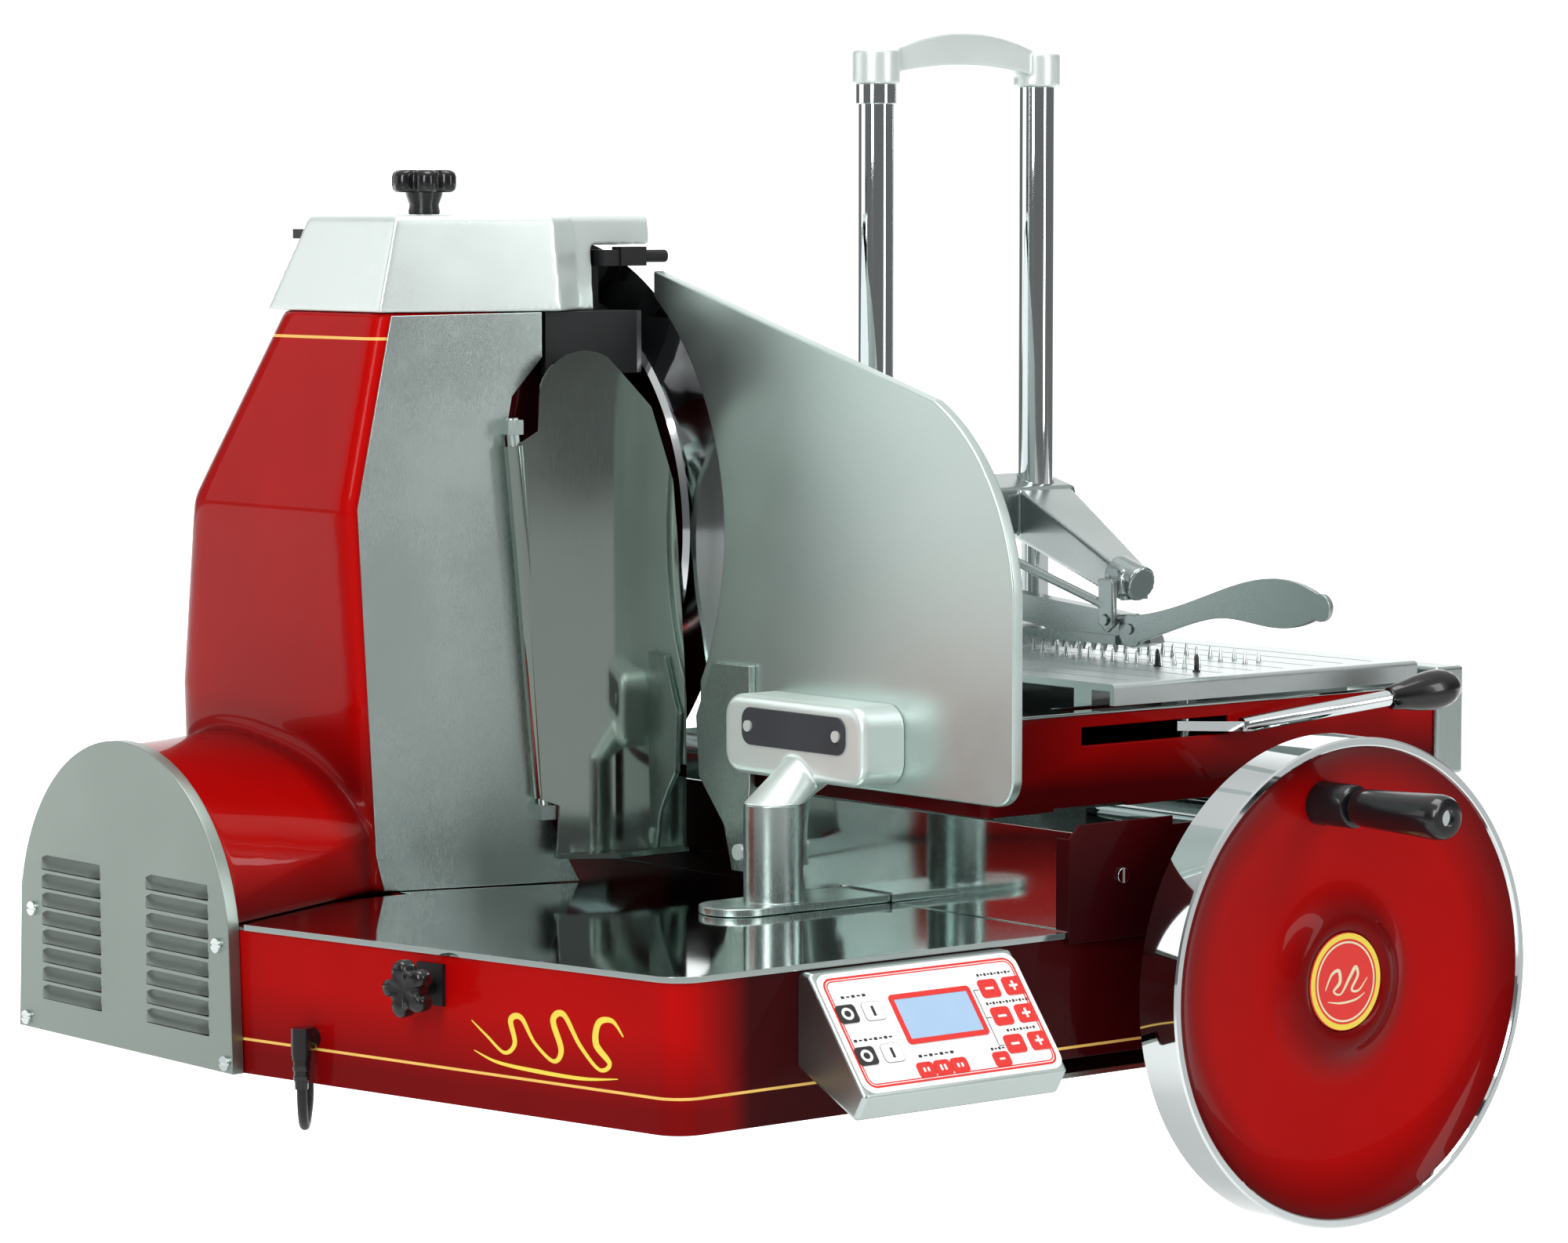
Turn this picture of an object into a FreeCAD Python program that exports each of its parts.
"""Flywheel deli slicer, in millimetres.

Places are measured from the base's front left corner: +X to the operator's right, +Y away from the
operator, +Z up, with the underside of the base at Z = 0. export() moves everything by ORIGIN, so that
the files have their origin in the middle of the four bolts that hold the base on its stand.
"""

import FreeCAD, Part
import math
import os

V = FreeCAD.Vector
X_AXIS = V(1, 0, 0)
Y_AXIS = V(0, 1, 0)
Z_AXIS = V(0, 0, 1)

# Stand bolts
ORIGIN = V(250, 320, 0)
BOLT_SPACING_X = 360
BOLT_SPACING_Y = 440
BOLT_HOLE_R = 5.5

# Base
BASE_W = 600
BASE_D = 640
SKIRT_H = 85
WALL = 3
LEFT_X = -68
BRAND_FACE_END_Y = 335
TRAY_TOP = 86.5
BASE_OUTLINE = [(0, 0), (BASE_W, 0), (BASE_W, BASE_D), (-20, BASE_D)]
BASE_OUTLINE += [(LEFT_X, 580), (LEFT_X, BRAND_FACE_END_Y)]

# Blade
BLADE_R = 185
BLADE_Y = 500
BLADE_Z = 304
BLADE_X = 286
BLADE_BACK_X = 274
SPINDLE_R = 12.5
RUNNING = 0.05
SHEET_T = 2

# Tower and motor barrel
BARREL_Y = 449.5
BARREL_Z = 68
BARREL_R = 117
CASTING_WALL = 5
TOWER_RIGHT = 234
TOWER_TOP = 443.5
PLATE_CORNER = V(86, 407, 0)
PLATE_DIR = V(0.964, -0.266, 0)
PLATE_NORMAL = V(-0.266, -0.964, 0)
# Height, left side, right end of the front face measured along it, and back of each tower section
TOWER_SECTIONS = [(TRAY_TOP, 78, 108, 637), (200, 71, 96, 630)]
TOWER_SECTIONS += [(323, 63, 78, 603), (TOWER_TOP, 85, 100, 530)]

# Belt drives
MOTOR_AXIS = (BARREL_Y, 70)
BLADE_PULLEY_R = 55
MOTOR_PULLEY_R = 30
PULLEY_X = 152
PULLEY_W = 20
GROOVE = 3
BELT_W = 14
BELT_T = 3
GEAR_PULLEY_R = 12
WHEEL_PULLEY_R = 22

# Gauge plate, bracket and post
GAUGE_T = 8
GAUGE_X = BLADE_X - GAUGE_T
GAUGE_ARC_R = 189
GAUGE_END_Y = 335
POST_X = 225
POST_Y = 196
POST_R = 18
BRACKET_FACE = 245
LABEL_T = 1.5
KNOB_ALONG = 184

# Way box, rails and carriage
WAY_LEFT = 298
WAY_TOP = 145
RAIL_XS = (370, 560)
RAIL_Z = 120
RAIL_R = 10
CARRIAGE_L = 290
CARRIAGE_R = 668
CARRIAGE_FRONT = 76
CARRIAGE_BACK = 333
CARRIAGE_BOTTOM = 147
CARRIAGE_TOP = 204

# Table, posts and clamp
TABLE_L = 385
TABLE_R = 645
TABLE_FRONT = 72
TABLE_BACK = 335
TABLE_TOP = 222
TABLE_T = 4.5
CLAMP_POST_XS = (443, 582)
CLAMP_POST_Y = 360
CLAMP_POST_R = 11.75
CAP_BOTTOM = 587
ARM_X = 520

# Flywheel
WHEEL_X = 462
WHEEL_Z = 48.8
WHEEL_R = 146.5
WHEEL_FRONT = -60
WHEEL_BACK = -29
HUB_FACE = -50
CRANK = V(444, WHEEL_FRONT, 157)
CRANK_BOSS_END = -78
GRIP_R = 13.5
GRIP_L = 73
GEARMOTOR_X = 330

# Keypad
KEYPAD_L = 84
KEYPAD_R = 234


def box(x0, y0, z0, x1, y1, z1):
    return Part.makeBox(x1 - x0, y1 - y0, z1 - z0, V(x0, y0, z0))


def rod(start, axis, radius, length):
    return Part.makeCylinder(radius, length, start, axis)


def tube(start, axis, inner, outer, length):
    return rod(start, axis, outer, length).cut(rod(start, axis, inner, length))


def prism(points, travel):
    return Part.Face(Part.makePolygon(points + [points[0]])).extrude(travel)


def prism_z(points, z0, z1):
    return prism([V(x, y, z0) for x, y in points], V(0, 0, z1 - z0))


def prism_x(points, x0, x1):
    return prism([V(x0, y, z) for y, z in points], V(x1 - x0, 0, 0))


def prism_y(points, y0, y1):
    return prism([V(x, y0, z) for x, z in points], V(0, y1 - y0, 0))


def fuse(first, *rest):
    return first.multiFuse(list(rest)).removeSplitter()


def turned(profile, centre, axis):
    """Turns (distance along the axis, radius) points about an axis through centre."""
    side = axis.cross(X_AXIS if abs(axis.x) < 0.9 * axis.Length else Z_AXIS)
    side.normalize()
    points = [centre + axis * along + side * radius for along, radius in profile]
    return Part.Face(Part.makePolygon(points + [points[0]])).revolve(centre, axis, 360)


def inset(points, distance):
    """The outline of a convex, anticlockwise polygon moved inwards by distance."""
    moved = []
    count = len(points)
    for i in range(count):
        (ax, ay), (bx, by), (cx, cy) = points[i - 1], points[i], points[(i + 1) % count]
        first = math.atan2(by - ay, bx - ax)
        second = math.atan2(cy - by, cx - bx)
        half = (second - first + math.pi) % (2 * math.pi) - math.pi
        reach = distance / math.cos(half / 2)
        normal = first + half / 2 + math.pi / 2
        moved.append((bx + reach * math.cos(normal), by + reach * math.sin(normal)))
    return moved


def parallel_edges(shape, direction, accept):
    """Straight edges along direction whose middle passes accept."""
    found = []
    for edge in shape.Edges:
        if len(edge.Vertexes) != 2 or not isinstance(edge.Curve, (Part.Line, Part.LineSegment)):
            continue
        along = edge.Vertexes[1].Point - edge.Vertexes[0].Point
        if along.normalize().cross(direction).Length < 0.3 and accept(edge.CenterOfMass):
            found.append(edge)
    return found


def rounded_prism_z(points, z0, z1, radius):
    block = prism_z(points, z0, z1)
    return block.makeFillet(radius, parallel_edges(block, Z_AXIS, lambda p: True))


def rounded_wire(points, radii, z):
    """A closed polygon at height z whose corners are arcs of the given radii, 0 for a sharp one."""
    starts, ends, arcs = [], [], []
    count = len(points)
    for i in range(count):
        corner = V(*points[i], z)
        back = V(*points[i - 1], z) - corner
        ahead = V(*points[(i + 1) % count], z) - corner
        back.normalize()
        ahead.normalize()
        half = back.getAngle(ahead) / 2
        radius = radii[i]
        starts.append(corner + back * (radius / math.tan(half)))
        ends.append(corner + ahead * (radius / math.tan(half)))
        bisector = back + ahead
        bisector.normalize()
        arcs.append(corner + bisector * (radius / math.sin(half) - radius))
    edges = []
    for i in range(count):
        if radii[i]:
            edges.append(Part.Arc(starts[i], arcs[i], ends[i]).toShape())
        edges.append(Part.makeLine(ends[i], starts[(i + 1) % count]))
    return Part.Wire(edges)


def on_plate(along, height, out=0):
    """A point on the tower's front plane."""
    return PLATE_CORNER + PLATE_DIR * along + PLATE_NORMAL * out + V(0, 0, height)


# ---------------------------------------------------------------- base

def drive_openings():
    """The openings in the deck under the motor and under the tower's belt."""
    bottom = SKIRT_H - WALL - 1
    top = TRAY_TOP + 3
    return fuse(box(-62, 390, bottom, 95, 520, top), box(90, 410, bottom, 222, 620, top))


def base_shell():
    shell = rounded_prism_z(BASE_OUTLINE, 0, SKIRT_H, 20)
    cavity = rounded_prism_z(inset(BASE_OUTLINE, WALL), -1, SKIRT_H - WALL, 17)
    boss = rod(V(WHEEL_X, WALL, WHEEL_Z), Y_AXIS, 32, 57)
    shell = fuse(shell.cut(cavity), boss)
    shell = shell.cut(rod(V(WHEEL_X, 5, WHEEL_Z), Y_AXIS, 26, 60))
    shell = shell.cut(rod(V(WHEEL_X, -1, WHEEL_Z), Y_AXIS, 14, 10))
    front_step = box(278, -1, -1, BASE_W - 22, WALL + 1, 14)
    vent = box(LEFT_X - 1, 350, 12, LEFT_X + WALL + 1, 550, 72)
    return shell.cut(front_step).cut(vent).cut(drive_openings())


def base_plate():
    plate = prism_z(inset(BASE_OUTLINE, WALL + 8), 0, WALL)
    for side_x in (-1, 1):
        for side_y in (-1, 1):
            centre = ORIGIN + V(side_x * BOLT_SPACING_X / 2, side_y * BOLT_SPACING_Y / 2, -1)
            plate = plate.cut(rod(centre, Z_AXIS, BOLT_HOLE_R, WALL + 2))
    return plate


def deck_tray():
    tray = rounded_prism_z(inset(BASE_OUTLINE, -2), SKIRT_H, TRAY_TOP + 2, 21)
    tray = tray.cut(rounded_prism_z(inset(BASE_OUTLINE, 2), TRAY_TOP, TRAY_TOP + 3, 18))
    beside_louvres = box(LEFT_X - 9, 327, SKIRT_H - 1, LEFT_X, 572, TRAY_TOP + 3)
    rim_gap = box(LEFT_X - 1, 327, TRAY_TOP, LEFT_X + 6, 572, TRAY_TOP + 3)
    return tray.cut(beside_louvres).cut(rim_gap).cut(drive_openings())


def case_screws():
    """Pan-head screws of the louvre plate and of the way cover."""
    spots = [(V(-76, 344, 75), V(-1, 0, 0)), (V(-76, 553, 75), V(-1, 0, 0))]
    spots += [(V(-76, 336, 6), V(-1, 0, 0)), (V(-76, 561, 6), V(-1, 0, 0))]
    spots += [(V(325, -4, 119), V(0, -1, 0))]
    heads = []
    for place, out in spots:
        head = rod(place, out, 4.5, 2)
        slot = box(-0.6, -5, 1, 0.6, 5, 3)
        slot.Placement = FreeCAD.Placement(place, FreeCAD.Rotation(Z_AXIS, out))
        heads.append(head.cut(slot))
    return Part.makeCompound(heads)


# ---------------------------------------------------------------- tower

def tower_loft(wall):
    """The tower's tapered body, or with a wall the space inside it."""
    wires = []
    for height, left, right_along, back in TOWER_SECTIONS:
        front_left = on_plate((left - PLATE_CORNER.x) / PLATE_DIR.x, 0)
        front_right = on_plate(right_along, 0)
        section = [(front_left.x, front_left.y), (front_right.x, front_right.y)]
        section += [(TOWER_RIGHT, 425), (TOWER_RIGHT, back), (left, back)]
        level = height
        if wall:
            section = inset(section, wall)
            level = height - 10 if height == TRAY_TOP else height
            level = height - wall if height == TOWER_TOP else level
        wires.append(rounded_wire(section, (12 - wall, 0, 0, 20 - wall, 30 - wall), level))
    return Part.makeLoft(wires, True, True)


def barrel(margin, x0, x1, floor):
    """The motor barrel: an arch at the louvre plate that widens and leans back into the tower."""
    louvre_end = [(338, 100), (355, 136), (400, 173), (BARREL_Y, 184), (499, 173), (544, 136), (561, 100)]
    tower_end = [(409, 126), (430, 146), (468, 164), (514, 173), (572, 177), (616, 160), (633, 126)]
    wires = []
    for x, arch in ((x0, louvre_end), (x1, tower_end)):
        centre = (arch[0][0] + arch[-1][0]) / 2
        half = centre - arch[0][0]
        share = (half - margin) / half
        points = [V(x, centre + (y - centre) * share, z - margin) for y, z in arch]
        curve = Part.BSplineCurve()
        curve.interpolate(points)
        left, right = V(x, points[0].y, floor), V(x, points[-1].y, floor)
        walls = Part.makePolygon([points[-1], right, left, points[0]]).Edges
        wires.append(Part.Wire([curve.toShape()] + walls))
    return Part.makeLoft(wires, True, True)


def tower_housing():
    body = fuse(tower_loft(0), barrel(0, LEFT_X, 80, TRAY_TOP))
    inside = fuse(tower_loft(CASTING_WALL), barrel(CASTING_WALL, LEFT_X - 1, 84, SKIRT_H - 2))
    bearing_boss = rod(V(182, BLADE_Y, BLADE_Z), X_AXIS, 36, TOWER_RIGHT - 182)
    body = fuse(body.cut(inside), bearing_boss)
    return body.cut(rod(V(180, BLADE_Y, BLADE_Z), X_AXIS, 26, 60))


def tower_front_plate():
    outline = [(0, 87), (-5, 110), (-15.6, 323), (7, 441.5), (105.5, 443), (105.4, 415)]
    outline += [(85.6, 391), (80.8, 365), (104, 139), (129, 87)]
    return prism([on_plate(along, height) for along, height in outline], PLATE_NORMAL * SHEET_T)


def louvre_outline(margin):
    """Arch-topped outline of the louvre plate, as a wire in the YZ plane at X = 0."""
    half = BARREL_R - margin
    spring = BARREL_Z + 20
    foot = half + 4
    left, right = BARREL_Y - half, BARREL_Y + half
    top = V(0, BARREL_Y, spring + half - 18)
    arch = Part.Arc(V(0, right, spring), top, V(0, left, spring)).toShape()
    feet = [V(0, BARREL_Y - foot, margin), V(0, BARREL_Y + foot, margin)]
    sides = [V(0, left, spring)] + feet + [V(0, right, spring)]
    return Part.Wire([arch] + Part.makePolygon(sides).Edges)


def louvre_plate():
    pan = Part.Face(louvre_outline(0)).extrude(V(8, 0, 0))
    hollow = Part.Face(louvre_outline(1.5)).extrude(V(8, 0, 0))
    hollow.translate(V(1.5, 0, 0))
    pan = pan.cut(hollow)
    for column_y in (388, 508):
        for row in range(8):
            z = 20 + row * 11.5
            pan = pan.cut(box(-1, column_y - 34, z, 3, column_y + 34, z + 4))
    pan.translate(V(LEFT_X - 8, 0, 0))
    return pan


def head_cover():
    def loft(wall, bottom, top, right):
        low = [(85, 406), (200, 374), (228, 392), (right, 398), (right, 506), (224, 530), (85, 530)]
        high = [(97, 404), (198, 379), (224, 396), (right, 404), (right, 492), (220, 500), (97, 500)]
        wires = []
        for outline, level in ((low, bottom), (high, top)):
            shape = inset(outline, wall) if wall else outline
            points = [V(x, y, level) for x, y in shape]
            wires.append(Part.makePolygon(points + [points[0]]))
        return Part.makeLoft(wires, True, True)

    cover = loft(0, TOWER_TOP, 503, 291)
    rim = [e for e in cover.Edges if abs(e.CenterOfMass.z - 503) < 0.01 and e.CenterOfMass.x < 289]
    cover = cover.makeFillet(5, rim)
    cover = cover.cut(loft(5, TOWER_TOP - 1, 497, 300))
    cover = cover.cut(box(240, 380, TOWER_TOP - 1, 300, 415, 484))
    cover = cover.cut(box(264, 484, TOWER_TOP - 1, 300, 540, 493))
    cover = cover.cut(box(100, 495, 486, 119, 520, 496))
    return cover.cut(rod(V(150, 450, 490), Z_AXIS, 5 + RUNNING, 20))


def star(centre, axis, radius, depth, lobes):
    """A star-shaped knob head with round lobes."""
    head = rod(centre, axis, radius * 0.72, depth)
    side = axis.cross(Z_AXIS) if axis.cross(Z_AXIS).Length > 0.1 else X_AXIS
    side.normalize()
    for i in range(lobes):
        turn = FreeCAD.Rotation(axis, 360 * i / lobes)
        lobe = rod(centre + turn.multVec(side) * (radius * 0.74), axis, radius * 0.26, depth)
        head = head.fuse(lobe)
    return head.removeSplitter()


def head_knob():
    top = star(V(150, 450, 517), Z_AXIS, 21.5, 14, 8)
    collar = rod(V(150, 450, 503.2), Z_AXIS, 10, 14)
    screw = rod(V(150, 450, 488), Z_AXIS, 5, 20)
    return fuse(top, collar, screw)


# ---------------------------------------------------------------- blade and its drive

def blade():
    profile = [(BLADE_X, BLADE_R), (BLADE_BACK_X + 4, 157), (BLADE_BACK_X, 153), (BLADE_BACK_X, 60)]
    profile += [(268, 44), (268, SPINDLE_R), (BLADE_X - 5, SPINDLE_R)]
    profile += [(BLADE_X - 5, 140), (BLADE_X - 1.5, 172)]
    return turned([(x - BLADE_X, r) for x, r in profile], V(BLADE_X, BLADE_Y, BLADE_Z), X_AXIS)


def blade_spindle():
    shaft = rod(V(146, BLADE_Y, BLADE_Z), X_AXIS, SPINDLE_R, 135)
    return fuse(shaft, rod(V(236.5, BLADE_Y, BLADE_Z), X_AXIS, 30, 31.5))


def pulley(x, y, z, radius, bore):
    wheel = tube(V(x, y, z), X_AXIS, bore, radius, PULLEY_W)
    edge = (PULLEY_W - BELT_W) / 2 - 0.2
    return wheel.cut(tube(V(x + edge, y, z), X_AXIS, radius - GROOVE, radius + 1, PULLEY_W - 2 * edge))


def blade_pulley():
    return pulley(PULLEY_X, BLADE_Y, BLADE_Z, BLADE_PULLEY_R, SPINDLE_R)


def motor_body():
    body = rod(V(-52, *MOTOR_AXIS), X_AXIS, 50, 92)
    fan_cover = rod(V(-60, *MOTOR_AXIS), X_AXIS, 42, 8)
    motor = fuse(body, fan_cover, box(-40, 410, WALL, 30, 490, 40))
    return motor.cut(rod(V(20, *MOTOR_AXIS), X_AXIS, 9 + RUNNING, 40))


def motor_pulley():
    shaft = rod(V(22, *MOTOR_AXIS), X_AXIS, 9, 150)
    return fuse(shaft, pulley(PULLEY_X, *MOTOR_AXIS, MOTOR_PULLEY_R, 8.9))


def belt(first, first_r, second, second_r, place):
    """The side face of a belt about two round pulleys.

    place turns (across, up) in the pulleys' plane to a point.
    """
    gap = math.hypot(second[0] - first[0], second[1] - first[1])
    heading = math.atan2(second[1] - first[1], second[0] - first[0])

    def loop(extra):
        a, b = first_r + extra, second_r + extra
        lean = math.acos((a - b) / gap)
        ends = []
        for (across, up), radius, back in ((first, a, math.pi), (second, b, 0)):
            angles = (heading + lean, heading + back, heading - lean)
            ends.append([place(across + radius * math.cos(t), up + radius * math.sin(t)) for t in angles])
        near, far = ends
        edges = [Part.Arc(*near).toShape(), Part.Arc(*far).toShape()]
        edges += [Part.LineSegment(near[0], far[0]).toShape(), Part.LineSegment(near[2], far[2]).toShape()]
        return Part.Face(Part.Wire(Part.__sortEdges__(edges)))

    return loop(BELT_T).cut(loop(0))


def belts():
    start = PULLEY_X + (PULLEY_W - BELT_W) / 2
    motor_r = MOTOR_PULLEY_R - GROOVE + RUNNING
    blade_r = BLADE_PULLEY_R - GROOVE + RUNNING
    blade_loop = belt(MOTOR_AXIS, motor_r, (BLADE_Y, BLADE_Z), blade_r, lambda y, z: V(start, y, z))
    gear_axis = (GEARMOTOR_X, WHEEL_Z)
    gear_r = GEAR_PULLEY_R + RUNNING
    hub_r = WHEEL_PULLEY_R + RUNNING
    wheel_loop = belt(gear_axis, gear_r, (WHEEL_X, WHEEL_Z), hub_r, lambda x, z: V(x, 73, z))
    return Part.makeCompound([blade_loop.extrude(V(BELT_W, 0, 0)), wheel_loop.extrude(V(0, BELT_W, 0))])


def bearings():
    """Ball bearings of the blade spindle and of the flywheel shaft."""
    rings = [tube(V(x, BLADE_Y, BLADE_Z), X_AXIS, SPINDLE_R + RUNNING, 26, 15) for x in (184, 219)]
    rings += [tube(V(WHEEL_X, y, WHEEL_Z), Y_AXIS, SPINDLE_R + RUNNING, 26, 15) for y in (5, 43)]
    return Part.makeCompound(rings)


def blade_shroud():
    """Half drum that covers the blade's far half, open towards the operator and the meat."""
    centre = V(TOWER_RIGHT, BLADE_Y, BLADE_Z)
    drum = rod(centre, X_AXIS, 194, 55)
    drum = drum.cut(rod(centre + V(3, 0, 0), X_AXIS, 190, 60))
    drum = drum.cut(rod(centre - V(1, 0, 0), X_AXIS, 60, 10))
    drum = drum.cut(box(200, 200, 0, 300, 540, 600))
    return drum


# ---------------------------------------------------------------- sharpener and deflector

def sharpener_body():
    outline = [(192, 380), (262, 378), (270, 384), (270, 436), (240, 436), (240, 430), (194, 388)]
    hood = prism_z(outline, 404, 443)
    hanger = box(240, 418, 443, 262, 488, 470)
    block = box(240, 446, 470, 262, 490, 496)
    body = fuse(hood, hanger, block)
    body = body.cut(rod(V(230, 470, 476), X_AXIS, 6 + RUNNING, 60))
    finger = fuse(box(256, 386, 471, 276, 396, 483), rod(V(270, 391, 477), X_AXIS, 4, 24))
    strut = box(244, 388, 471, 256, 446, 481)
    return fuse(body, finger, strut)


def sharpener_rod():
    bar = rod(V(107, 470, 476), X_AXIS, 6, 157)
    stone = rod(V(263, 470, 476), X_AXIS, 19, 7)
    arm = box(105, 462, 470, 113, 478, 491)
    tip = prism_z([(105, 464), (113, 464), (114, 520), (109, 536), (105, 520)], 488, 494)
    return fuse(bar, stone, arm, tip)


HINGE_TOP = on_plate(83.5, 364, 10)
HINGE_BOTTOM = on_plate(103, 139, 10)


def hinge_point(height):
    """The deflector hinge's axis at a height."""
    share = (height - HINGE_BOTTOM.z) / (HINGE_TOP.z - HINGE_BOTTOM.z)
    return HINGE_BOTTOM + (HINGE_TOP - HINGE_BOTTOM) * share


def hinge_rod(radius, low, high):
    start, end = hinge_point(low), hinge_point(high)
    return rod(start, end - start, radius, (end - start).Length)


def deflector_rod():
    pin = hinge_rod(4, 128, 378)
    ears = []
    for low in (128, 368):
        middle = 103 - (low - 139) * 0.087
        corners = ((-5, 2), (5, 2), (5, 15), (-5, 15))
        ears.append(prism([on_plate(middle + side, low, out) for side, out in corners], V(0, 0, 9)))
    return fuse(pin, *ears)


def deflector():
    """The bowed sheet, cut to its leaf shape, with its hinge knuckle and the lip across its foot."""
    start = hinge_point(250)
    along = V(270, 349, 250) - start
    along.normalize()
    out = V(along.y, -along.x, 0)

    def at(s, offset, z):
        p = start + along * s + out * offset
        return V(p.x, p.y, z)

    def bow(offset):
        return Part.Arc(at(-16, offset, 90), at(50, 11 + offset, 90), at(116, offset, 90)).toShape()

    ends = [Part.makeLine(at(s, 0, 90), at(s, SHEET_T, 90)) for s in (-16, 116)]
    skin = Part.Face(Part.Wire(Part.__sortEdges__([bow(0), bow(SHEET_T)] + ends)))
    arch = Part.Arc(at(4, -30, 392), at(24, -30, 418), at(48, -30, 415)).toShape()
    left = [(4, 392), (3, 370), (-9, 362), (5, 141), (16, 137), (14, 106)]
    right = [(104, 106), (104, 200), (99, 284), (94, 338), (78, 384), (48, 415)]
    sides = Part.makePolygon([at(s, -30, z) for s, z in left + right])
    cutter = Part.Face(Part.Wire([arch] + sides.Edges)).extrude(out * 60)
    sheet = skin.extrude(V(0, 0, 350)).common(cutter)
    lip_outline = [(14, 2), (50, 13.5), (104, 2), (104, 9), (50, 24), (14, 12)]
    lip = prism([at(s, offset, 104) for s, offset in lip_outline], V(0, 0, 3))
    knuckle = hinge_rod(6.5, 142, 361)
    return fuse(sheet, knuckle, lip).cut(hinge_rod(4 + RUNNING, 100, 420))


# ---------------------------------------------------------------- gauge plate

def gauge_plate():
    def arc_point(y, sign):
        rise = math.sqrt(GAUGE_ARC_R ** 2 - (BLADE_Y - y) ** 2)
        return V(GAUGE_X, y, BLADE_Z + sign * rise)

    upper, lower = arc_point(382, 1), arc_point(GAUGE_END_Y, -1)
    middle = V(GAUGE_X, BLADE_Y - GAUGE_ARC_R, BLADE_Z)
    mouth = Part.Arc(upper, middle, lower).toShape()
    nose = Part.Arc(V(GAUGE_X, 39, 282), V(GAUGE_X, 60, 346), V(GAUGE_X, 111, 394)).toShape()
    heel = Part.Arc(V(GAUGE_X, 56, 157), V(GAUGE_X, 44, 162), V(GAUGE_X, 39, 174)).toShape()
    lines = Part.makePolygon([lower, V(GAUGE_X, GAUGE_END_Y, 157), V(GAUGE_X, 56, 157)]).Edges
    lines += Part.makePolygon([V(GAUGE_X, 39, 174), V(GAUGE_X, 39, 282)]).Edges
    lines += Part.makePolygon([V(GAUGE_X, 111, 394), V(GAUGE_X, 382, 468), upper]).Edges
    outline = Part.Wire(Part.__sortEdges__([mouth, nose, heel] + lines))
    return Part.Face(outline).extrude(V(GAUGE_T, 0, 0))


def blade_guard_segment():
    outline = [(330, 152), (333, 190), (316, 225), (279, 225), (279, 150), (283, 118)]
    outline += [(282, 96), (297, 96), (305, 124)]
    return prism_x(list(reversed(outline)), GAUGE_X - 5, GAUGE_X)


def gauge_post():
    bar = box(198, 173, TRAY_TOP + 0.3, 330, 220, TRAY_TOP + 5)
    nose = rod(V(198, 196.5, TRAY_TOP + 0.3), Z_AXIS, 23.5, 4.7)
    post = rod(V(POST_X, POST_Y, TRAY_TOP + 4), Z_AXIS, POST_R, 60)
    return fuse(bar, nose, post)


def gauge_bracket():
    block = box(BRACKET_FACE, 136, 162, GAUGE_X, 270, 211)
    block = block.makeFillet(14, parallel_edges(block, X_AXIS, lambda p: True))
    block = block.makeFillet(5, [e for e in block.Edges if e.CenterOfMass.x < BRACKET_FACE + 1])
    top = TRAY_TOP + 64
    low = Part.makeCircle(POST_R, V(POST_X, POST_Y, top), Z_AXIS)
    high = Part.makeCircle(15, V(262, POST_Y + 7, 171), V(1, 0, 0.5))
    neck = Part.makeLoft([Part.Wire(low), Part.Wire(high)], True, True)
    return fuse(block, neck)


def gauge_label():
    plate = box(BRACKET_FACE - LABEL_T, 152, 181, BRACKET_FACE, 250, 204)
    return plate.makeFillet(8, parallel_edges(plate, X_AXIS, lambda p: True))


def gauge_screws():
    heads = [rod(V(BRACKET_FACE - LABEL_T, y, 192.5), V(-1, 0, 0), 3.5, 1.5) for y in (159, 243)]
    heads += [rod(V(GAUGE_X - 5, 289, 108), V(-1, 0, 0), 5, 2)]
    return Part.makeCompound(heads)


def brand_point(along, out, height):
    """A point by the slanted left face of the base: along it, out of it, and up."""
    run = V(LEFT_X, BRAND_FACE_END_Y, 0)
    run.normalize()
    normal = V(-run.y, run.x, 0)
    p = run * along + normal * out
    return V(p.x, p.y, height)


def brand_normal():
    return brand_point(0, 1, 0)


def gauge_knob():
    shaft = rod(brand_point(KNOB_ALONG, 0.2, 67), brand_normal(), 5, 18)
    return fuse(shaft, star(brand_point(KNOB_ALONG, 14, 67), brand_normal(), 17, 12, 5))


def knob_bracket():
    left, right = KNOB_ALONG - 10, KNOB_ALONG + 10
    corners = [(left, 0), (right, 0), (right, 3), (left, 3)]
    plate = prism([brand_point(along, out, 56) for along, out in corners], V(0, 0, 24))
    return plate.cut(rod(brand_point(KNOB_ALONG, -1, 67), brand_normal(), 5 + RUNNING, 10))


# ---------------------------------------------------------------- ways and carriage

def way_box():
    outer = box(WAY_LEFT, 4, TRAY_TOP, BASE_W - 14, BASE_D - 14, WAY_TOP)
    inner = box(WAY_LEFT + 2, 6, TRAY_TOP - 1, BASE_W - 16, BASE_D - 16, WAY_TOP + 1)
    slot = box(WAY_LEFT - 1, 172, TRAY_TOP - 1, WAY_LEFT + 3, 221, TRAY_TOP + 6)
    return outer.cut(inner).cut(slot)


def way_front_cover():
    outline = [(284, 82), (BASE_W, 82), (BASE_W, 146), (366, 146), (366, 151), (292, 151), (284, 143)]
    panel = prism_y(outline, -4, -2)
    flange = box(284, -2, 89, 286, 8, 143)
    return fuse(panel, flange)


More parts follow.
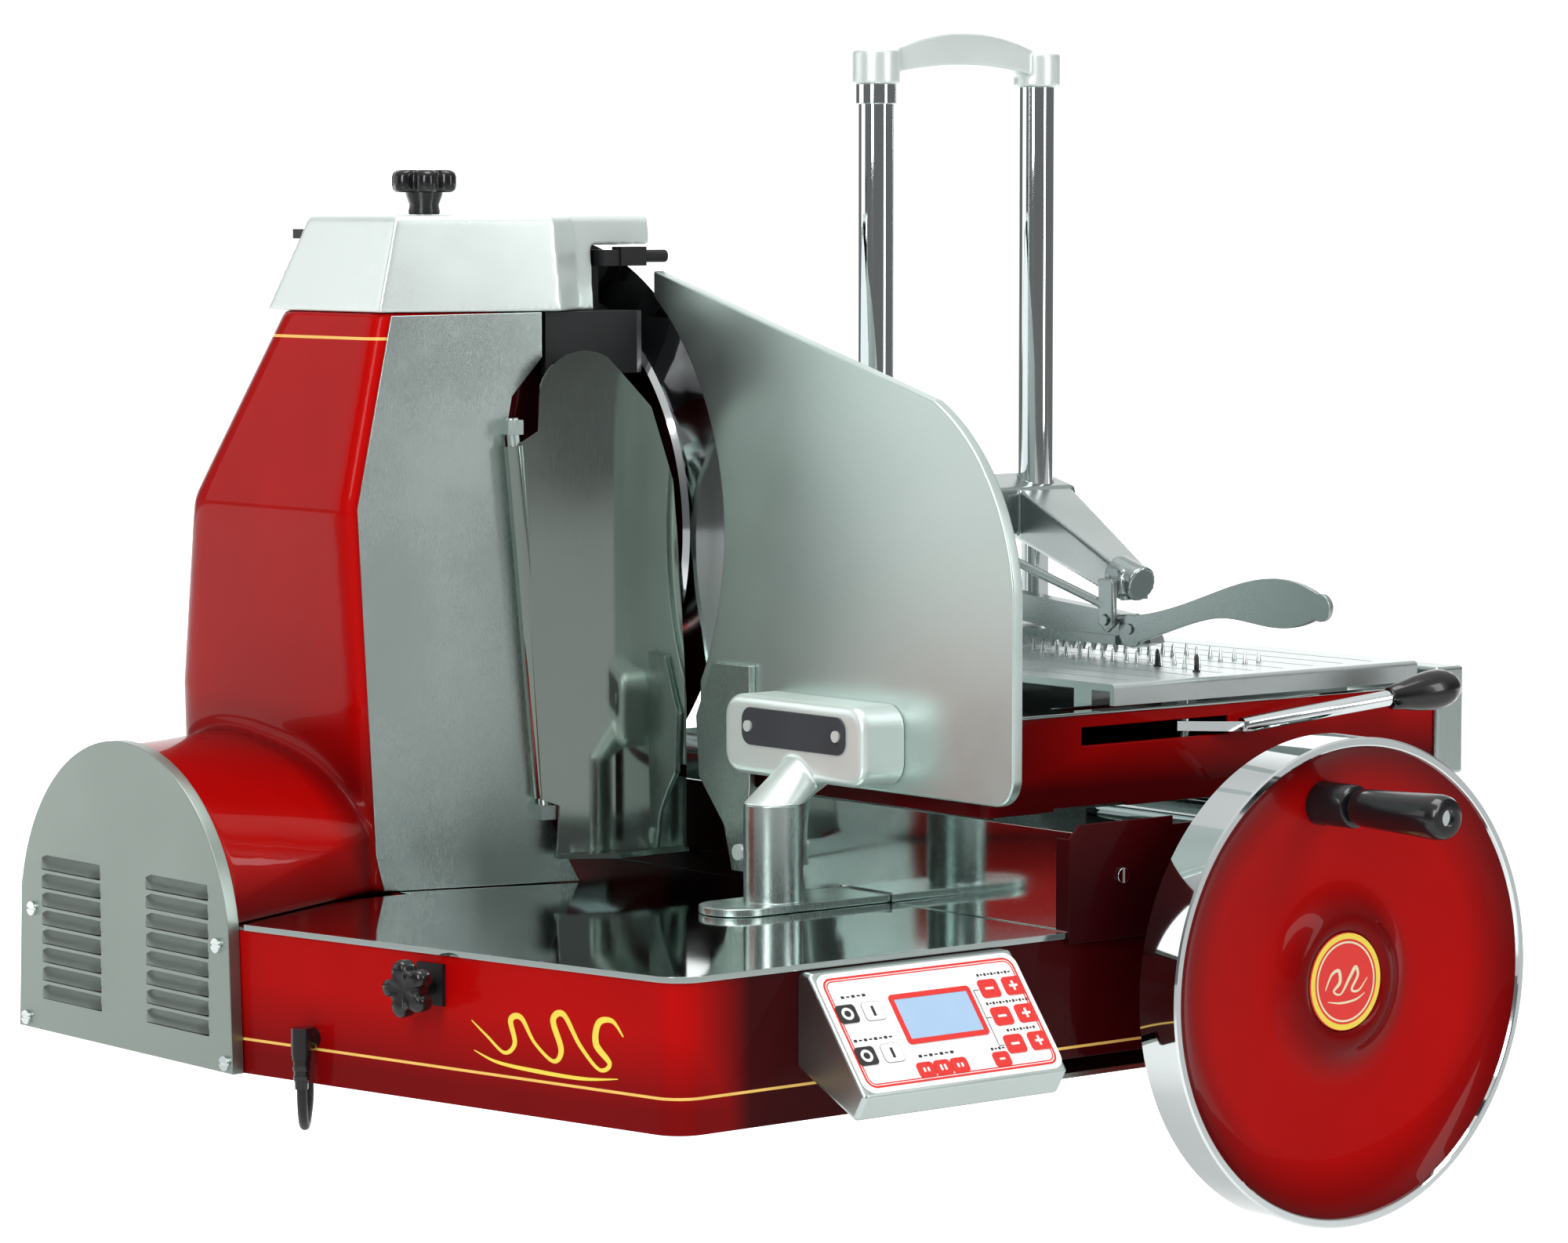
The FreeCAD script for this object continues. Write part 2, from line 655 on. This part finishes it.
def carriage_rails():
    pieces = [rod(V(x, 6, RAIL_Z), Y_AXIS, RAIL_R, BASE_D - 22) for x in RAIL_XS]
    for x in RAIL_XS:
        for y in (6, BASE_D - 32):
            foot = box(x - 16, y, TRAY_TOP, x + 16, y + 16, RAIL_Z + 14)
            pieces.append(foot.cut(rod(V(x, y - 1, RAIL_Z), Y_AXIS, RAIL_R, 20)))
    return Part.makeCompound(pieces)


def carriage_body():
    outer = box(CARRIAGE_L, CARRIAGE_FRONT, CARRIAGE_BOTTOM, CARRIAGE_R, CARRIAGE_BACK, CARRIAGE_TOP)
    outer = outer.makeFillet(6, parallel_edges(outer, Z_AXIS, lambda p: p.x < 300))
    inner = box(CARRIAGE_L + WALL, CARRIAGE_FRONT + WALL, CARRIAGE_BOTTOM - 1,
                CARRIAGE_R - WALL, CARRIAGE_BACK - WALL, CARRIAGE_TOP - WALL)
    slot = box(366, CARRIAGE_FRONT - 1, 185.5, 488, CARRIAGE_FRONT + WALL + 1, 196.5)
    notch = box(344, CARRIAGE_FRONT - 1, 140, 403, CARRIAGE_FRONT + WALL + 1, 149)
    guide = box(366, 86, CARRIAGE_TOP - WALL - 1, 488, 104, CARRIAGE_TOP + 1)
    return outer.cut(inner).cut(slot).cut(notch).cut(guide)


def carriage_top():
    front = CARRIAGE_FRONT - 1
    plate = box(CARRIAGE_L - 1, front, CARRIAGE_TOP, CARRIAGE_R, CARRIAGE_BACK, CARRIAGE_TOP + SHEET_T)
    return plate.cut(box(366, 86, CARRIAGE_TOP - 1, 488, 104, CARRIAGE_TOP + 3))


def carriage_end_plate():
    plate = box(CARRIAGE_R, CARRIAGE_FRONT - 3, CARRIAGE_BOTTOM, 693, CARRIAGE_BACK, 216)
    return plate.makeFillet(2.5, plate.Edges)


def carriage_bearings():
    """Bed plate under the carriage with four bushed blocks that run on the rails."""
    bed = box(CARRIAGE_L + 4, CARRIAGE_FRONT + 4, CARRIAGE_BOTTOM, CARRIAGE_R - 4, CARRIAGE_BACK - 4, 150)
    blocks = [box(x - 18, y, 104, x + 18, y + 44, CARRIAGE_BOTTOM) for x in RAIL_XS for y in (96, 276)]
    whole = fuse(bed, *blocks)
    for x in RAIL_XS:
        whole = whole.cut(rod(V(x, 50, RAIL_Z), Y_AXIS, RAIL_R + RUNNING, 300))
    return whole


def feed_screw():
    return fuse(rod(V(CARRIAGE_L + 4, 120, 172), X_AXIS, 6, 370), rod(V(300, 120, 172), X_AXIS, 15, 8))


# ---------------------------------------------------------------- meat table and clamp

def feed_pivot():
    """Pin and foot under the meat table that carry the feed lever."""
    pin = rod(V(464, 90, 184), Z_AXIS, 3, 34)
    return fuse(pin, box(456, 88, 198, 472, 102, TABLE_TOP - TABLE_T))


def meat_table():
    low = TABLE_TOP - TABLE_T
    plate = box(TABLE_L, TABLE_FRONT, low, TABLE_R, TABLE_BACK, TABLE_TOP)
    lip = box(TABLE_L, TABLE_FRONT - 4, 209, TABLE_R, TABLE_FRONT, TABLE_TOP)
    lip = lip.makeFillet(3, parallel_edges(lip, X_AXIS, lambda p: p.y < TABLE_FRONT - 3 and p.z > 215))
    runner = box(TABLE_L + 20, 110, CARRIAGE_TOP + SHEET_T, TABLE_R - 20, 126, low)
    runner_back = box(TABLE_L + 20, 290, CARRIAGE_TOP + SHEET_T, TABLE_R - 20, 306, low)
    table = fuse(plate, lip, runner, runner_back, feed_pivot())
    for i in range(9):
        x = TABLE_L + 26 + i * 26
        table = table.cut(box(x, TABLE_FRONT + 12, TABLE_TOP - 1.2, x + 2, TABLE_BACK - 8, TABLE_TOP + 1))
    return table


def table_spikes():
    spikes = []
    for x in (494, 506, 546, 558):
        for i in range(9):
            spikes.append(Part.makeCone(1.6, 0.5, 8, V(x, 122 + i * 22, TABLE_TOP), Z_AXIS))
    return Part.makeCompound(spikes)


def clamp_posts():
    posts = [rod(V(x, CLAMP_POST_Y, 216), Z_AXIS, CLAMP_POST_R, CAP_BOTTOM - 216) for x in CLAMP_POST_XS]
    foot = box(CLAMP_POST_XS[0] - 22, TABLE_BACK, 208, CLAMP_POST_XS[1] + 22, CLAMP_POST_Y + 20, 236)
    foot = foot.makeFillet(5, parallel_edges(foot, X_AXIS, lambda p: True))
    for x in CLAMP_POST_XS:
        foot = foot.cut(rod(V(x, CLAMP_POST_Y, 216), Z_AXIS, CLAMP_POST_R, 40))
    collar = tube(V(CLAMP_POST_XS[0], CLAMP_POST_Y, 574), Z_AXIS, CLAMP_POST_R, 13.5, CAP_BOTTOM - 574)
    return Part.makeCompound(posts + [foot, collar])


def bow_handle():
    left, right = CLAMP_POST_XS
    caps = [rod(V(x, CLAMP_POST_Y, CAP_BOTTOM), Z_AXIS, 15.5, 22) for x in CLAMP_POST_XS]
    caps = [cap.makeFillet(2, [e for e in cap.Edges if e.CenterOfMass.z > 600]) for cap in caps]
    middle = (left + right) / 2

    def arch(low, high):
        return Part.Arc(V(left, CLAMP_POST_Y - 9, low), V(middle, CLAMP_POST_Y - 9, high),
                        V(right, CLAMP_POST_Y - 9, low)).toShape()

    ends = [Part.makeLine(V(x, CLAMP_POST_Y - 9, 592), V(x, CLAMP_POST_Y - 9, 606)) for x in (left, right)]
    face = Part.Face(Part.Wire(Part.__sortEdges__([arch(592, 600), arch(606, 621)] + ends)))
    return fuse(face.extrude(V(0, 18, 0)), *caps)


TILT_PIN = V(ARM_X, 199, 247)
PADDLE_PIN = V(ARM_X, 182.5, 242)


def clamp_casting():
    left, right = CLAMP_POST_XS[0] - 20, CLAMP_POST_XS[1] + 20
    front, back = CLAMP_POST_Y - 18, CLAMP_POST_Y + 18
    bridge = prism_x([(front, 292), (back, 292), (back, 332), (front, 322.5)], left, right)
    bridge = bridge.makeFillet(4, parallel_edges(bridge, X_AXIS, lambda p: True))
    root = [V(x, front + 8, z) for x, z in ((555, 289), (right, 289), (right, 323.5), (555, 323.5))]
    tip = [V(ARM_X + dx, 196, z) for dx, z in ((-12, 259), (12, 259), (12, 278), (-12, 278))]
    arm = Part.makeLoft([Part.makePolygon(p + [p[0]]) for p in (root, tip)], True, True)
    slope = V(0, 196 - front, -44)
    slope.normalize()
    barrel_end = rod(V(ARM_X, 212, 276), slope, 11.5, 24)
    cheek = prism_x([(193, 271), (207, 271), (206, 244), (199, 239), (192, 244)], ARM_X - 22, ARM_X - 17.5)
    cheek_root = box(ARM_X - 22, 194, 263, ARM_X, 206, 273)
    casting = fuse(bridge, arm, barrel_end, cheek, cheek_root)
    casting = casting.cut(rod(TILT_PIN + V(-30, 0, 0), X_AXIS, 3 + RUNNING, 60))
    for x in CLAMP_POST_XS:
        casting = casting.cut(rod(V(x, CLAMP_POST_Y, 280), Z_AXIS, CLAMP_POST_R + RUNNING, 60))
    tie = rod(V(ARM_X - 19.5, 348, 296), V(0, -146, -40), 3, 151)
    return Part.makeCompound([casting, tie.cut(casting)])


def toothed_beam():
    side = [(174, 233), (180, 247), (212, 251), (330, 260), (330, 244), (240, 233), (190, 229)]
    beam = prism_x(side, ARM_X - 6, ARM_X + 6)
    plate = box(ARM_X - 9, 204, 230, ARM_X + 6, 330, 236)
    whole = fuse(beam, plate)
    for i in range(12):
        tooth = Part.makeCone(2.4, 0.6, 6, V(ARM_X - 3, 210 + i * 10, 231), V(0, 0, -1))
        whole = whole.fuse(tooth)
    pin = rod(TILT_PIN + V(-24, 0, 0), X_AXIS, 3, 30)
    stud = rod(PADDLE_PIN + V(-18, 0, 0), X_AXIS, 3, 20)
    return fuse(whole, pin, stud)


def paddle_lever():
    """Leaf-shaped hand lever that stands beside the beam and turns on its stud."""
    x = ARM_X - 16.5
    upper, lower = Part.BSplineCurve(), Part.BSplineCurve()
    upper.interpolate([V(x, *p) for p in ((180, 251), (150, 256.5), (118, 266), (59, 281), (16, 274))])
    lower.interpolate([V(x, *p) for p in ((18, 258), (56, 251), (97, 254), (140, 245), (175, 234))])
    tip = Part.Arc(V(x, 16, 274), V(x, 5.9, 268), V(x, 18, 258)).toShape()
    heel = Part.Arc(V(x, 175, 234), V(x, 193, 242), V(x, 180, 251)).toShape()
    outline = Part.Wire(Part.__sortEdges__([upper.toShape(), tip, lower.toShape(), heel]))
    leaf = Part.Face(outline).extrude(V(4, 0, 0))
    return leaf.cut(rod(PADDLE_PIN + V(-30, 0, 0), X_AXIS, 3 + RUNNING, 40))


LEVER_START = V(489, 65, 191)
LEVER_DIR = V(0.971, -0.21, 0.114)


def feed_lever():
    link = prism_z([(456, 88), (464, 97), (472, 92), (496, 68), (494, 60), (485, 60)], 188, 194)
    arm = rod(LEVER_START, LEVER_DIR, 5, 114)
    return fuse(link, arm).cut(rod(V(464, 90, 180), Z_AXIS, 3 + RUNNING, 30))


def feed_knob():
    profile = [(0, 5.01), (0, 7), (18, 11), (34, 12.5), (46, 9), (52, 0), (6.1, 0), (6.1, 5.01)]
    return turned(profile, LEVER_START + LEVER_DIR * 108, LEVER_DIR)


# ---------------------------------------------------------------- flywheel

def wheel_turned(profile):
    return turned(profile, V(WHEEL_X, 0, WHEEL_Z), Y_AXIS)


def flywheel_disc():
    front = [(-58, 140.5), (-53, 133), (-50, 120), (-46, 80), (-45, 58)]
    front += [(-49, 44), (-52, 41), (-53, 38), (-53, 32), (HUB_FACE, 30), (HUB_FACE, SPINDLE_R)]
    back = [(-22, SPINDLE_R), (-22, 26), (-38, 40), (-42, 120), (-32, 126), (-32, 140.5)]
    return wheel_turned(front + back)


def flywheel_rim():
    profile = [(WHEEL_FRONT, WHEEL_R - 1), (WHEEL_FRONT, 141.5), (-58, 140.5), (-32, 140.5)]
    profile += [(WHEEL_BACK, 142.5), (WHEEL_BACK, WHEEL_R - 1)]
    profile += [(WHEEL_BACK - 1, WHEEL_R), (WHEEL_FRONT + 1, WHEEL_R)]
    return wheel_turned(profile)


def hub_badge():
    return rod(V(WHEEL_X, HUB_FACE, WHEEL_Z), V(0, -1, 0), 29.5, 2.5)


def flywheel_shaft():
    shaft = rod(V(WHEEL_X, HUB_FACE, WHEEL_Z), Y_AXIS, SPINDLE_R, 100 - HUB_FACE)
    hub = tube(V(WHEEL_X, 69.5, WHEEL_Z), Y_AXIS, SPINDLE_R, WHEEL_PULLEY_R, 21)
    return fuse(shaft, hub)


def crank_pin():
    """Handle pin with its boss, which sits on the dished disc."""
    seat = V(CRANK.x, -44, CRANK.z)
    boss = rod(seat, V(0, -1, 0), 13, seat.y - CRANK_BOSS_END).cut(flywheel_disc())
    return fuse(boss, rod(CRANK, V(0, -1, 0), 5, 90))


def crank_grip():
    bore = 5 + RUNNING
    profile = [(0, bore), (0, 10), (6, 11.5), (42, 12.5), (64, GRIP_R), (GRIP_L, 11), (GRIP_L, bore)]
    start = V(CRANK.x, CRANK_BOSS_END - 1, CRANK.z)
    return turned([(-along, radius) for along, radius in profile], start, Y_AXIS)


def gearmotor_body():
    body = box(GEARMOTOR_X - 24, 92, 22, GEARMOTOR_X + 24, 150, 78)
    motor = rod(V(GEARMOTOR_X, 150, WHEEL_Z), Y_AXIS, 24, 90)
    foot = box(GEARMOTOR_X - 30, 100, WALL, GEARMOTOR_X + 30, 145, 22)
    body = fuse(body, motor, foot)
    return body.cut(rod(V(GEARMOTOR_X, 80, WHEEL_Z), Y_AXIS, 6 + RUNNING, 40))


def gearmotor_pulley():
    shaft = rod(V(GEARMOTOR_X, 64, WHEEL_Z), Y_AXIS, 6, 50)
    return fuse(shaft, rod(V(GEARMOTOR_X, 69.5, WHEEL_Z), Y_AXIS, GEAR_PULLEY_R, 21))


# ---------------------------------------------------------------- keypad

FACE_TOP = V(0, -10, 84)
FACE_BOTTOM = V(0, -59, 21)


def keypad_face_point(x, down, out):
    """A point by the keypad's slanted face: along X, down the slope, and out of it."""
    slope = FACE_BOTTOM - FACE_TOP
    slope.normalize()
    normal = V(0, slope.z, -slope.y)
    return V(x, 0, 0) + FACE_TOP + slope * down + normal * out


def keypad_box():
    side = [(FACE_TOP.y, FACE_TOP.z), (FACE_BOTTOM.y, FACE_BOTTOM.z), (-50, 6), (0, 30), (0, 84)]
    case = prism_x(side, KEYPAD_L, KEYPAD_R)
    return case.makeFillet(3, [e for e in case.Edges if e.CenterOfMass.y < -2])


def keypad_face():
    """The printed sheet, and the display's pane on it."""
    def slab(left, top, right, bottom, low, thickness):
        corners = [(left, top), (right, top), (right, bottom), (left, bottom)]
        return prism([keypad_face_point(x, down, low) for x, down in corners],
                     keypad_face_point(0, 0, thickness) - FACE_TOP)

    sheet = slab(KEYPAD_L + 5, 4, KEYPAD_R - 5, 76, 0, 0.8)
    pane = slab(KEYPAD_L + 50, 20, KEYPAD_L + 94, 46, 0.8, 0.7)
    return Part.makeCompound([sheet, pane])


# ---------------------------------------------------------------- mains cord

CORD_R = 3
GLAND_ALONG = 280
CORD_ROUTE = [
    (-65, 272.5, 18), (-65, 272.5, -2), (-59, 280.5, -19.3), (-48.6, 294.3, -29.3), (-36.6, 310.3, -29.3),
    (-13.4, 341.2, -18.9), (8, 376, -9), (26, 418, -6.5), (36, 470, -6.5), (42, 530, -6.5), (60, 582, -6.5),
    (96, 617, -8), (146, 636, -13), (200, 648, -22), (252, 653.5, -30), (300, 653.9, -31.07),
]
TAIL_ROUTE = [(311.1, 660.1, -29.6), (332, 658, -23), (352, 657, -10), (362, 656.8, 6), (362, 656.8, 20)]
COIL_CENTRE = V(300, 657, 12)
COIL_INNER_R = 24.5
COIL_R = 46.5
COIL_THICK = 13
PLUG_BOTTOM = 20


def gland():
    nut = rod(brand_point(GLAND_ALONG, 0, 27), brand_normal(), 6.5, 9.5)
    sleeve = rod(V(CORD_ROUTE[0][0], CORD_ROUTE[0][1], CORD_ROUTE[0][2]), Z_AXIS, 6, 16)
    return fuse(nut, sleeve)


def cord_along(route):
    """Straight runs joined by arcs, each as large as its two runs allow."""
    points = [V(*p) for p in route]
    edges = []
    here = points[0]
    for before, corner, after in zip(points, points[1:], points[2:]):
        back = before - corner
        ahead = after - corner
        short = 0.45 * min(back.Length, ahead.Length)
        back.normalize()
        ahead.normalize()
        turn = math.pi - back.getAngle(ahead)
        enter = corner + back * short
        leave = corner + ahead * short
        radius = short / math.tan(turn / 2)
        bisector = back + ahead
        bisector.normalize()
        middle = corner + bisector * (radius / math.cos(turn / 2) - radius)
        edges.append(Part.LineSegment(here, enter).toShape())
        edges.append(Part.Arc(enter, middle, leave).toShape())
        here = leave
    edges.append(Part.LineSegment(here, points[-1]).toShape())
    path = Part.Wire(edges)
    section = Part.Wire(Part.makeCircle(CORD_R, points[0], points[1] - points[0]))
    return path.makePipeShell([section], True, False)


def cord_tube():
    """The cord from the gland to the coil, and from the coil to the plug."""
    coil = cord_coil()
    return Part.makeCompound([cord_along(route).cut(coil) for route in (CORD_ROUTE, TAIL_ROUTE)])


def cord_coil():
    """The tied coil that hangs behind the base."""
    return tube(COIL_CENTRE - Y_AXIS * COIL_THICK / 2, Y_AXIS, COIL_INNER_R, COIL_R, COIL_THICK)


def plug():
    """Three-pin plug at the end of the cord, beside the coil."""
    body = box(350, 645, PLUG_BOTTOM, 374, 669, PLUG_BOTTOM + 50)
    body = body.makeFillet(4, body.Edges)
    pins = [box(374, 655, 58, 396, 659, 66)]
    pins += [box(374, y, 28, 392, y + 4, 34) for y in (650, 660)]
    return fuse(body, *pins)


NODES = [
    base_shell, base_plate, deck_tray, case_screws, tower_housing, tower_front_plate, louvre_plate, head_cover,
    head_knob, blade, blade_spindle, blade_pulley, motor_body, motor_pulley, belts, bearings, blade_shroud,
    sharpener_body, sharpener_rod, deflector_rod, deflector, gauge_plate, blade_guard_segment, gauge_post,
    gauge_bracket, gauge_label, gauge_screws, gauge_knob, knob_bracket, way_box, way_front_cover, carriage_rails,
    carriage_body, carriage_top, carriage_end_plate, carriage_bearings, feed_screw, meat_table, table_spikes,
    clamp_posts, bow_handle, clamp_casting, toothed_beam, paddle_lever, feed_lever, feed_knob,
    flywheel_disc, flywheel_rim, hub_badge, flywheel_shaft, crank_pin, crank_grip, gearmotor_body,
    gearmotor_pulley, keypad_box, keypad_face, gland, cord_tube, cord_coil, plug,
]


def export():
    os.makedirs("parts", exist_ok=True)
    for make in NODES:
        shape = make()
        shape.translate(-ORIGIN)
        shape.exportStep("parts/%s.step" % make.__name__)
        if not shape.isValid():
            print("not valid:", make.__name__)


export()
